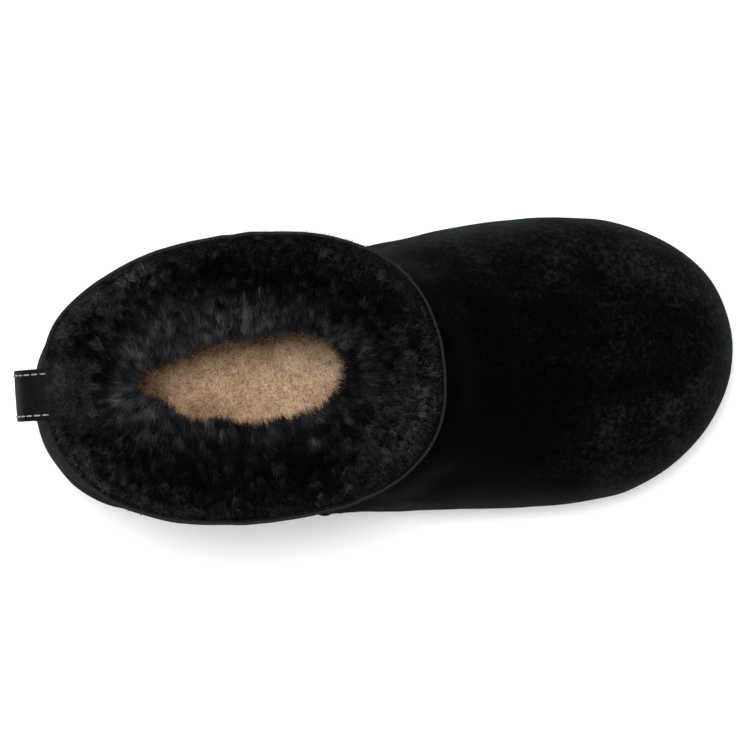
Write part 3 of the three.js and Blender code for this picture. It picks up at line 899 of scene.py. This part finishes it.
def fibres(name, roots, ends, bend, tone, steps, widths, materials, rng, facing=(0, 0, 0)):
    """A piece of flat tapering fibres, bowed by bend. Each has one length for each of steps, and the step and
    its tone pick that length's material. Their flat sides lean towards facing, the more the longer it is."""
    count, stations = len(roots), len(steps) + 1
    t = np.linspace(0, 1, stations)[None, :, None]
    paths = roots[:, None] + (ends - roots)[:, None] * t + bend[:, None] * 4 * t * (1 - t)
    side = unit(np.cross(unit(paths[:, -1] - paths[:, 0]), rng.normal(size=(count, 3)) + facing))
    taper = widths[:, None] * np.linspace(1.0, 0.6, stations - 1) / 2
    reach = side[:, None] * taper[..., None]
    pairs = np.stack([paths[:, :-1] + reach, paths[:, :-1] - reach], 2).reshape(count, -1, 3)
    points = np.concatenate([pairs, paths[:, -1:]], 1)
    size = points.shape[1]
    pattern = []
    for k in range(0, size - 3, 2):
        pattern += [(k, k + 1, k + 3), (k, k + 3, k + 2)]
    pattern.append((size - 3, size - 2, size - 1))
    triangles = (np.arange(count)[:, None, None] * size + np.array(pattern)).reshape(-1, 3)
    shades = np.clip(np.round(tone[:, None] + np.array(steps)), 0, len(materials) - 1).astype(int)
    slots = shades[:, [corners[0] // 2 for corners in pattern]].ravel()
    return add_object(triangle_mesh(name, points.reshape(-1, 3), triangles, slots), materials)


def pile_tone(points, places):
    """How light the pile is, in shades: painted light round the opening, painted shade below it, and a random
    mottle with painted light and shade in patches.
    """
    # Painted light on the wool round the opening, and painted shade on the wool below it, deeper in the boot.
    opening = bell(places - 13.5, 0.55)
    under = 1 - ease(places, 12.3, 13.2)
    rim = ease(places, 15.2, RIM_ROW) * ease(SHIFT[0] - points[:, 0], 60 * MM, 95 * MM)
    # A random mottle, and the painted light and shade of the patches.
    patches = layered_lumps(points, PILE_MOTTLE) + patches_at(points, PILE_LIGHT_AND_SHADE)
    return 2.0 + 0.8 * opening + 0.7 * rim - 1.6 * under + patches


def nearest_tuft(tuft_tips, points):
    tree = point_tree(tuft_tips)
    return np.array([tree.find(p)[1] for p in points])


def make_pile():
    """Long wool from the rim down into the boot, in tufts."""
    rng = np.random.default_rng(SEED)
    rows = np.linspace(LOWEST_TUFTS, RIM_ROW, PILE_GRID[0])
    grid = form(INSIDE, rows, PILE_GRID[1])
    normals = outward(grid)
    normals[0] = unit(normals[1])
    values = np.stack([np.repeat(rows[:, None], grid.shape[1], 1), pile_depth(grid)], -1)
    weights = 0.3 + 0.7 * ease(rows, 11.6, 12.6) + 0.25 * ease(rows, 15, RIM_ROW)
    at_front = ease(grid[..., 0] - SHIFT[0], -30 * MM, -12 * MM) * (1 - ease(rows, 13.2, 14.2))[:, None]
    weights = weights[:, None] + 0.9 * at_front

    def wool_at(count):
        """Level of the tips, outward side, row and depth at scattered places."""
        spots = scatter(grid, weights, count, rng)
        tips, out = sample(grid, *spots), unit(sample(normals, *spots))
        row, depth = sample(values, *spots).T
        splay = ease(row, RIM_ROW - 0.75, RIM_ROW)[:, None]
        tips = tips + splay * (out * 2.4 + 1.4 * UP) * MM
        tips += noise_vectors(tips, 12 * MM, SEED + 40) * [1.9 * MM, 1.9 * MM, 1.0 * MM] * (1 - 0.9 * splay)
        for tuft in THROAT_TUFTS:
            tips = tips - out * patches_at(tips, [tuft])[:, None] * MM
        return tips, out, row, depth[:, None]

    tuft_tips, tuft_out, _, _ = wool_at(TUFTS)
    jitter = rng.normal(size=tuft_tips.shape) * 0.6 * MM
    tuft_tips += jitter - tuft_out * rng.normal(0.2, 1.0, (TUFTS, 1)) * MM
    tuft_tips += noise_vectors(tuft_tips, 6 * MM, SEED + 60) * [2.4 * MM, 2.4 * MM, 0.6 * MM]
    tuft_tone = rng.normal(0, 0.95, TUFTS)
    tuft_pull = rng.uniform(0.2, 0.9, TUFTS)
    materials = fibre_materials("pile_wool", PILE_SHADES, 0.7, 0.12)
    for part in range(PILE_PIECES):
        tips, out, row, depth = wool_at(PILE_STRANDS)
        upright = ease(row, 13.6, 14.8)[:, None]
        back = out * (1 - 0.3 * upright) - 0.7 * UP * upright
        roots = tips + back * depth * rng.uniform(0.7, 0.95, (PILE_STRANDS, 1))
        tuft = nearest_tuft(tuft_tips, tips)
        pull = (tuft_pull[tuft] + rng.normal(0, 0.15, PILE_STRANDS))[:, None]
        reach = rng.normal(0.2, 0.9, (PILE_STRANDS, 1)) * MM
        ends = tips + (tuft_tips[tuft] - tips) * pull - out * reach + rng.normal(size=tips.shape) * 0.35 * MM
        bend = rng.normal(size=tips.shape) * [0.9 * MM, 0.9 * MM, 0.6 * MM]
        tone = pile_tone(tips, row) + tuft_tone[tuft] + rng.normal(0, 0.75, PILE_STRANDS)
        steps = PILE_STEPS if part < FINE_PILE_PIECES else PILE_STEPS[:2]
        widths = rng.uniform(0.13, 0.23, PILE_STRANDS) * MM
        piece = fibres(f"pile_{part + 1}", roots, ends, bend, tone, steps, widths, materials, rng)
        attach(piece, "root")
    make_short_wool(materials)


def rim_wool(rng):
    """Short wool between the skin and the tips of the pile, all round the rim: roots and leans. Some of it
    spills over the skin's edge at the medial side."""
    columns = PILE_GRID[1]
    turn = rng.random(RIM_WOOL)
    spilling = rng.random(RIM_WOOL) < SPILLING
    turn = np.where(spilling, SPILL_FROM + (SPILL_TO - SPILL_FROM) * turn, turn) % 1 * columns
    column = turn.astype(int)
    f = (turn - column)[:, None]

    def at(ring):
        return ring[column % columns] * (1 - f) + ring[(column + 1) % columns] * f

    skin_at = at(form(OUTSIDE, np.array([RIM_ROW_OUTSIDE - 0.05]), columns)[0])
    pile_at = at(form(INSIDE, np.array([RIM_ROW - 0.1]), columns)[0])
    inward = unit(pile_at - skin_at)
    share = rng.random((RIM_WOOL, 1)) ** 1.3 * np.where(spilling, 0.2, 1)[:, None]
    near_skin = skin_at + inward * (SKIN + 0.25 * MM)
    roots = near_skin + (pile_at + inward * 0.8 * MM - near_skin) * share
    lean = inward * (rng.normal(0.1, 0.75, (RIM_WOOL, 1)) - 1.1 * spilling[:, None]) * MM
    return roots - 1.6 * MM * UP, lean + 2.6 * MM * UP


def tab_wool(rng):
    """Wool that comes up round the pull tab's inner end and hides it: roots and leans."""
    run = run_along(WOOL_OVER_TAB)
    at = rng.random(TAB_WOOL) ** 1.8
    x, z = values_at(at * run[-1], run, WOOL_OVER_TAB).T
    across = rng.uniform(-1, 1, TAB_WOOL) + rng.normal(0, 0.24, TAB_WOOL)
    z = z - np.maximum(np.abs(across) - 0.85, 0) * 9 * MM
    roots = np.stack([x, TAB_MIDDLE + across * (TAB_WIDTH / 2) * (1 + 0.3 * at), z], -1) + SHIFT
    roots -= rng.random((TAB_WOOL, 1)) * at[:, None] * 2.5 * MM * UP
    lean = np.stack([-1.0 + 2.2 * at, np.zeros(TAB_WOOL), 1.9 - 0.4 * at], -1) * MM
    lean += noise_vectors(roots, 4 * MM, SEED + 53) * [1.8 * MM, 1.8 * MM, 0.5 * MM]
    return roots, lean


def make_short_wool(materials):
    """The short wool at the rim and over the pull tab, as one piece."""
    rng = np.random.default_rng(SEED + 50)
    roots, lean = (np.concatenate(pair) for pair in zip(rim_wool(rng), tab_wool(rng)))
    count = len(roots)
    ends = roots + lean + rng.normal(size=roots.shape) * 0.6 * MM
    bend = rng.normal(size=roots.shape) * 0.4 * MM
    heel = ease(SHIFT[0] - roots[:, 0], 50 * MM, 85 * MM)
    tone = 2.2 + 0.8 * heel + 1.0 * lumps(roots, 3.5 * MM, SEED + 56) + rng.normal(0, 0.7, count)
    widths = rng.uniform(0.15, 0.28, count) * MM
    # Each fibre is painted darker at its root: painted shade deep in the wool.
    piece = fibres("pile_short", roots, ends, bend, tone, (-1.2, 0.1), widths, materials, rng)
    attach(piece, "root")


# ------------------------------------------------------------------ plan forms: insole and outsole


def level_outline(table, level):
    """Where a form crosses a level over the sole: its medial and its lateral side, both from the toe."""
    dense = form(table, np.linspace(0.02, len(table) - 1.0, 500), 720) - SHIFT
    over = dense[..., 2] - sole_top(dense[..., 0]) - level
    found = []
    for columns in (np.arange(-180, 180), np.arange(540, 180, -1)):
        side = over[:, columns]
        crossed = (side[:, :-1] < 0) & (side[:, 1:] >= 0)
        rings = np.nonzero(crossed.any(1))[0]
        at = crossed[rings].argmax(1)
        a, b = side[rings, at], side[rings, at + 1]
        f = (-a / (b - a))[:, None]
        low, high = dense[rings, columns[at]], dense[rings, columns[at + 1]]
        found.append((low + (high - low) * f)[:, :2])
    return found


def closed_plan(sides):
    """One closed plan outline from the medial side, heel to toe, and the lateral side, back to the heel."""
    medial, lateral = sides
    return np.concatenate([medial, lateral[::-1][1:-1]])


def plan_normals(plan):
    """Unit normals of a closed plan outline that runs up the medial side, away from its middle."""
    along = np.roll(plan, -1, 0) - np.roll(plan, 1, 0)
    return unit(np.stack([-along[:, 1], along[:, 0]], -1))


def spine_of(sides, radii):
    """The line down the middle that an outline's rings shrink to. It ends at a radius from heel and toe."""
    middle = (sides[0] + sides[1]) / 2
    x = middle[:, 0]
    middle[:, 0] = np.clip(x, x.min() + radii[0], x.max() - radii[1])
    return closed_plan([middle, middle])


# ------------------------------------------------------------------ the insole

FLEECE_STRANDS = 34000
FLEECE_TUFTS = 1500
# Shades of the fleece's fibres, from dark to light; the darkest are reached mostly in its painted shade.
FLEECE_SHADES = [
    (0.110, 0.056, 0.026), (0.240, 0.132, 0.066), (0.400, 0.242, 0.134),
    (0.550, 0.362, 0.220), (0.670, 0.475, 0.305), (0.780, 0.595, 0.415),
]
# The wool's edge over the medial side of the footbed, x and y (mm); the fleece beside it is painted in shade.
SHADED_EDGE = [(-96, -2), (-86, 8.2), (-66, 13.8), (-43, 16.4), (-20, 16), (-10, 9)]
INSOLE_COLUMNS = 150
INSOLE_RADII = (20 * MM, 24 * MM)  # at the heel and the toe
INSOLE_LEVEL = 6 * MM  # over the sole's top, where the footbed takes its outline
INSOLE_GAP = 0.8 * MM  # inside that outline
INSOLE_RAISED = 0.6 * MM  # off the sole's top
INSOLE_EDGE = [(1.5, 0), (0.2, 1), (0, 3), (0.2, 4.6), (0.8, 5.6)]  # inset and height (mm), from below
INSOLE_TOP = (1.6, 6.0)  # the same, for its whole top
INSOLE_LUMPS = [(0.5, 5 * MM, 8), (0.25, 2 * MM, 9)]  # height (mm), size and seed
FLEECE_MOTTLE = [(1.05, 9 * MM, 38), (0.55, 4 * MM, 39)]  # strength in shades, size and seed


def insole_rings():
    """The footbed as rings of points: under it, up its edge, and in over its top to its spine."""
    sides = [evenly(side, INSOLE_COLUMNS)[::-1] for side in level_outline(INSIDE, INSOLE_LEVEL)]
    plan = closed_plan(sides)
    plan = plan - plan_normals(plan) * INSOLE_GAP
    spine = spine_of(sides, INSOLE_RADII)
    normals = plan_normals(plan)
    rings = []

    def add_ring(flat, height, relief=0.0):
        z = sole_top(flat[:, 0]) + INSOLE_RAISED + height * MM
        if relief:
            z = z + relief * layered_lumps(np.column_stack([flat, z]), INSOLE_LUMPS)
        rings.append(np.column_stack([flat, z]) + SHIFT)

    add_ring(spine, 0)
    for inset, height in INSOLE_EDGE:
        add_ring(plan - normals * inset * MM, height)
    edge = plan - normals * INSOLE_TOP[0] * MM
    for share in np.linspace(1, 0, 30):
        add_ring(spine + (edge - spine) * share, INSOLE_TOP[1], 1 * MM)
    return np.array(rings)


def make_insole():
    rings = insole_rings()
    base = add_object(ring_mesh("insole_base", rings), [fleece_base_material()])
    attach(base, "root")
    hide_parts("insole")
    make_fleece(rings[len(INSOLE_EDGE) + 1 :])


def fleece_tone(points):
    """How light the fleece is, in shades: painted shade at the heel and beside the wool's medial edge, painted
    light towards the toe end and the lateral side, over a random mottle.
    """
    x, y = (points - SHIFT).T[:2]
    edge = np.interp(x, *(MM * np.array(SHADED_EDGE)).T)
    # Painted shade at the heel, along the medial side and beside the wool's edge.
    shaded = ease(-x, 64 * MM, 84 * MM) + 0.7 * ease(y, 6 * MM, 15 * MM) + 1.4 * ease(y - edge, -4.5 * MM, 0)
    # Painted light towards the toe end and the lateral side.
    light = 1.1 * ease(x, -52 * MM, -20 * MM) + 0.8 * ease(-y, 8 * MM, 15 * MM)
    return 3.2 + layered_lumps(points, FLEECE_MOTTLE) + light - 1.1 * shaded


def make_fleece(top):
    """Short curly wool over the footbed's top, given as rings of points. Most of it is where it is seen."""
    rng = np.random.default_rng(SEED + 20)
    x, y = top[..., 0] - SHIFT[0], top[..., 1]
    seen = ease(x, -100 * MM, -88 * MM) * (1 - ease(x, 0, 10 * MM)) * (np.abs(y) < 24 * MM)
    roots = sample(top, *scatter(top, 0.12 + seen, FLEECE_STRANDS, rng))
    tuft_tips = sample(top, *scatter(top, 0.12 + seen, FLEECE_TUFTS, rng))
    tuft = nearest_tuft(tuft_tips, roots)
    flow = noise_vectors(roots, 14 * MM, SEED + 30) + noise_vectors(roots, 4 * MM, SEED + 34)
    lean = unit(flow * [1, 1, 0]) * rng.uniform(0.6, 2.0, (FLEECE_STRANDS, 1)) * MM
    rise = UP * rng.uniform(0.2, 0.8, (FLEECE_STRANDS, 1)) * MM
    ends = roots + lean + rise + rng.normal(size=roots.shape) * 0.4 * MM
    ends += (tuft_tips[tuft] - roots) * [1, 1, 0] * rng.uniform(0.1, 0.6, (FLEECE_STRANDS, 1))
    bend = rng.normal(size=roots.shape) * 0.6 * MM
    tone = fleece_tone(roots) + rng.normal(0, 0.25, FLEECE_TUFTS)[tuft] + rng.normal(0, 0.25, FLEECE_STRANDS)
    widths = rng.uniform(0.32, 0.6, FLEECE_STRANDS) * MM
    wool = fibre_materials("fleece_wool", FLEECE_SHADES, 0.8, 0.1)
    # Each fibre is painted a little darker at its root: painted shade between the fibres.
    steps = (-0.45, 0.15)
    piece = fibres("insole_fleece", roots, ends, bend, tone, steps, widths, wool, rng, 2.5 * UP)
    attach(piece, "root")


# ------------------------------------------------------------------ the outsole

SOLE_COLUMNS = 260  # along each side
SOLE_RADII = (24 * MM, 28 * MM)  # at the heel and the toe
LUG_DEPTH = 2.2 * MM
LUG_GROOVE = 3 * MM
LUG_PITCH = 11 * MM
LUG_WAVE = 2.4 * MM
LUG_WAVES = 2.5
LUG_BORDER = 7 * MM
LUG_FIRST = -112 * MM
LUG_LAST = 124 * MM
GROOVE_SPAN = 120 * MM
LUG_SMOOTH = 6 * MM
SOLE_TOP_RINGS = (0, 0.5)  # shares of the way from its spine to its edge
UNDERSIDE_RINGS = 34
# The sole's side, from its top edge to its bottom edge: a share of its height, and an inset (mm).
SIDE_PROFILE = [
    (1, 3.2), (1, 1.6), (0.985, 0.85), (0.955, 0.4), (0.915, 0.2), (0.88, 0.15),
    (0.868, 0.55), (0.845, 0.65), (0.822, 0.55), (0.81, 0.05),  # the step line
    (0.76, 0), (0.66, 0), (0.55, 0), (0.42, 0), (0.3, 0),
    (0.21, 0.2), (0.13, 0.55), (0.075, 0.95), (0.035, 1.45), (0.01, 2), (0, 2.6),
]


def sole_sides():
    places = np.linspace(0, len(SOLE_OUTLINE) - 1, 2400)
    first, last = SOLE_OUTLINE[1][SOLE_MIRRORED], SOLE_OUTLINE[-2][SOLE_MIRRORED]
    made = spline(SOLE_OUTLINE, places, first, last)
    return [evenly(side, SOLE_COLUMNS) for side in (made[:, [0, 1]], made[:, [0, 2]])]


def tread_depth(x, y, border):
    """Wavy grooves across the sole, none of them in the arch or in the border."""
    swing = LUG_WAVE * np.sin(2 * np.pi * LUG_WAVES * y / GROOVE_SPAN)
    place = (x - swing - LUG_FIRST) / LUG_PITCH
    nearest = np.round(place)
    centre = LUG_FIRST + nearest * LUG_PITCH
    away = np.abs(place - nearest) * LUG_PITCH
    in_arch = (centre > ARCH_FROM + LUG_SMOOTH) & (centre < ARCH_TO - LUG_SMOOTH)
    cut = 1 - ease(away, LUG_GROOVE / 2 - 0.4 * MM, LUG_GROOVE / 2 + 0.2 * MM)
    cut = cut * ~in_arch * (centre < LUG_LAST) * (centre > LUG_FIRST - MM)
    return LUG_DEPTH * cut * ease(border, LUG_BORDER - 0.5 * MM, LUG_BORDER + 0.7 * MM)


def make_outsole():
    sides = sole_sides()
    plan = closed_plan(sides)
    normals = plan_normals(plan)
    spine = spine_of(sides, SOLE_RADII)
    rings = []

    def add_ring(flat, z):
        rings.append(np.column_stack([flat, z]) + SHIFT)

    inner = plan - normals * SIDE_PROFILE[0][1] * MM
    for share in SOLE_TOP_RINGS:
        flat = spine + (inner - spine) * share
        add_ring(flat, sole_top(flat[:, 0]))
    for height, inset in SIDE_PROFILE:
        flat = plan - normals * inset * MM
        low, high = sole_bottom(flat[:, 0]), sole_top(flat[:, 0])
        add_ring(flat, low + (high - low) * height)
    edge = plan - normals * SIDE_PROFILE[-1][1] * MM
    half_width = length(plan - spine)
    for share in np.linspace(1, 0, UNDERSIDE_RINGS)[1:]:
        flat = spine + (edge - spine) * share
        z = sole_bottom(flat[:, 0]) + tread_depth(flat[:, 0], flat[:, 1], half_width * (1 - share))
        add_ring(flat, z)
    piece = add_object(ring_mesh("outsole_rubber", np.array(rings)), [rubber_material()])
    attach(piece, "root")
    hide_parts("outsole")


# ------------------------------------------------------------------ stitches


def stitches(name, lines, stitch, gap, radius, material):
    """Short arched threads along some lines, each given as a path and its normals, all in one mesh."""
    runs = [run_of_stitches(path, normals, stitch, gap) for path, normals in lines]
    starts, ends, ups = (np.concatenate(parts) for parts in zip(*runs))
    stations, around = 7, 6
    side = unit(np.cross(unit(ends - starts), ups))
    up = np.cross(side, unit(ends - starts))
    s = np.linspace(0, 1, stations)
    turn = 2 * np.pi * np.arange(around) / around
    thick = radius * np.sin(np.pi * (0.06 + 0.88 * s)) ** 0.35
    lift = radius * (np.sin(np.pi * s) - 0.35)
    middle = starts[:, None] + (ends - starts)[:, None] * s[:, None] + up[:, None] * lift[:, None]
    circle = np.cos(turn)[:, None] * side[:, None, None] + np.sin(turn)[:, None] * up[:, None, None]
    points = middle[:, :, None] + circle * thick[:, None, None]
    size = stations * around
    tube = grid_faces(stations, around, inside_out=True).tolist()
    tube += [list(range(around))[::-1], list(range(size - around, size))]
    faces = [[n * size + corner for corner in face] for n in range(len(starts)) for face in tube]
    mesh = bpy.data.meshes.new(name)
    mesh.from_pydata(points.reshape(-1, 3).tolist(), [], faces)
    mesh.polygons.foreach_set("use_smooth", [True] * len(mesh.polygons))
    piece = add_object(mesh, [material])
    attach(piece, "root")


def run_of_stitches(path, normals, stitch, gap):
    """Stitches at an even pitch along a path of points: their starts, ends and ups."""
    run = run_along(path)
    count = int((run[-1] + gap) / (stitch + gap))
    begin = (run[-1] - count * (stitch + gap) + gap) / 2 + np.arange(count) * (stitch + gap)
    starts, ends = values_at(begin, run, path), values_at(begin + stitch, run, path)
    return starts, ends, values_at(begin + stitch / 2, run, normals)


# ------------------------------------------------------------------ the pull tab

STITCH_LENGTH = 2.6 * MM
STITCH_GAP = 0.7 * MM
STITCH_INSET = 1.9 * MM  # from the strap's edges
STITCH_RADIUS = 0.3 * MM
STITCH_ROWS = (93.5 * MM, 102.5 * MM)  # heights of the two rows across the strap's lower end
THREAD_TINT = (1, 0.98, 0.94)
TAB_STATIONS = 120
STRAP_EDGE = 0.55 * MM
# The strap's face as shares of its half width and half thickness. It is a little thin under the stitches.
STRAP_FACE = np.array([[-0.82, 1], [-0.72, 0.93], [-0.55, 1], [0, 1.03], [0.55, 1], [0.72, 0.93], [0.82, 1]])


def tab_frames():
    """The strap's middle line, and its outward side, at even places along it."""
    line = smooth_line(TAB_ROUTE, TAB_STATIONS, 50)
    along = unit(np.gradient(line, axis=0))
    middle = np.stack([line[:, 0], np.full(TAB_STATIONS, TAB_MIDDLE), line[:, 1]], -1) + SHIFT
    out = np.stack([-along[:, 1], np.zeros(TAB_STATIONS), along[:, 0]], -1)
    return middle, out


def strap_section():
    """The strap's section, across and through, as one half and the same half turned over."""
    half = np.array([TAB_WIDTH, TAB_THICK]) / 2
    corner = rounded_corner(*half, STRAP_EDGE)
    right = np.concatenate([STRAP_FACE * half, corner, corner[::-1][1:] * [1, -1]])
    return np.concatenate([right, -right])


def make_pull_tab():
    middle, out = tab_frames()
    across, through = strap_section().T
    rings = middle[:, None] + np.array([0, 1, 0]) * across[:, None] + out[:, None] * through[:, None]
    piece = add_object(ring_mesh("pull_tab_strap", capped(rings)), [strap_material()])
    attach(piece, "root")
    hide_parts("pull_tab")

    lines = []
    to_edge = np.array([0, TAB_WIDTH / 2 - STITCH_INSET, 0])
    for side in (-1, 1):
        for face in (-1, 1):
            lines.append((middle + side * to_edge + out * face * TAB_THICK / 2, out * face))
    for height in STITCH_ROWS:
        k = int(np.argmin(np.abs(middle[: TAB_STATIONS // 2, 2] - height)))
        row = np.linspace(-1, 1, 40)[:, None] * to_edge
        lines.append((middle[k] + row + out[k] * TAB_THICK / 2, np.repeat(out[k : k + 1], 40, 0)))
    white_thread = thread_material("white_thread", grey(0.13, THREAD_TINT), grey(0.33, THREAD_TINT))
    stitches("pull_tab_stitches", lines, STITCH_LENGTH, STITCH_GAP, STITCH_RADIUS, white_thread)


make_camera()
make_floor()
make_lights()
make_upper()
make_pile_base()
make_pile()
make_insole()
make_outsole()
make_pull_tab()
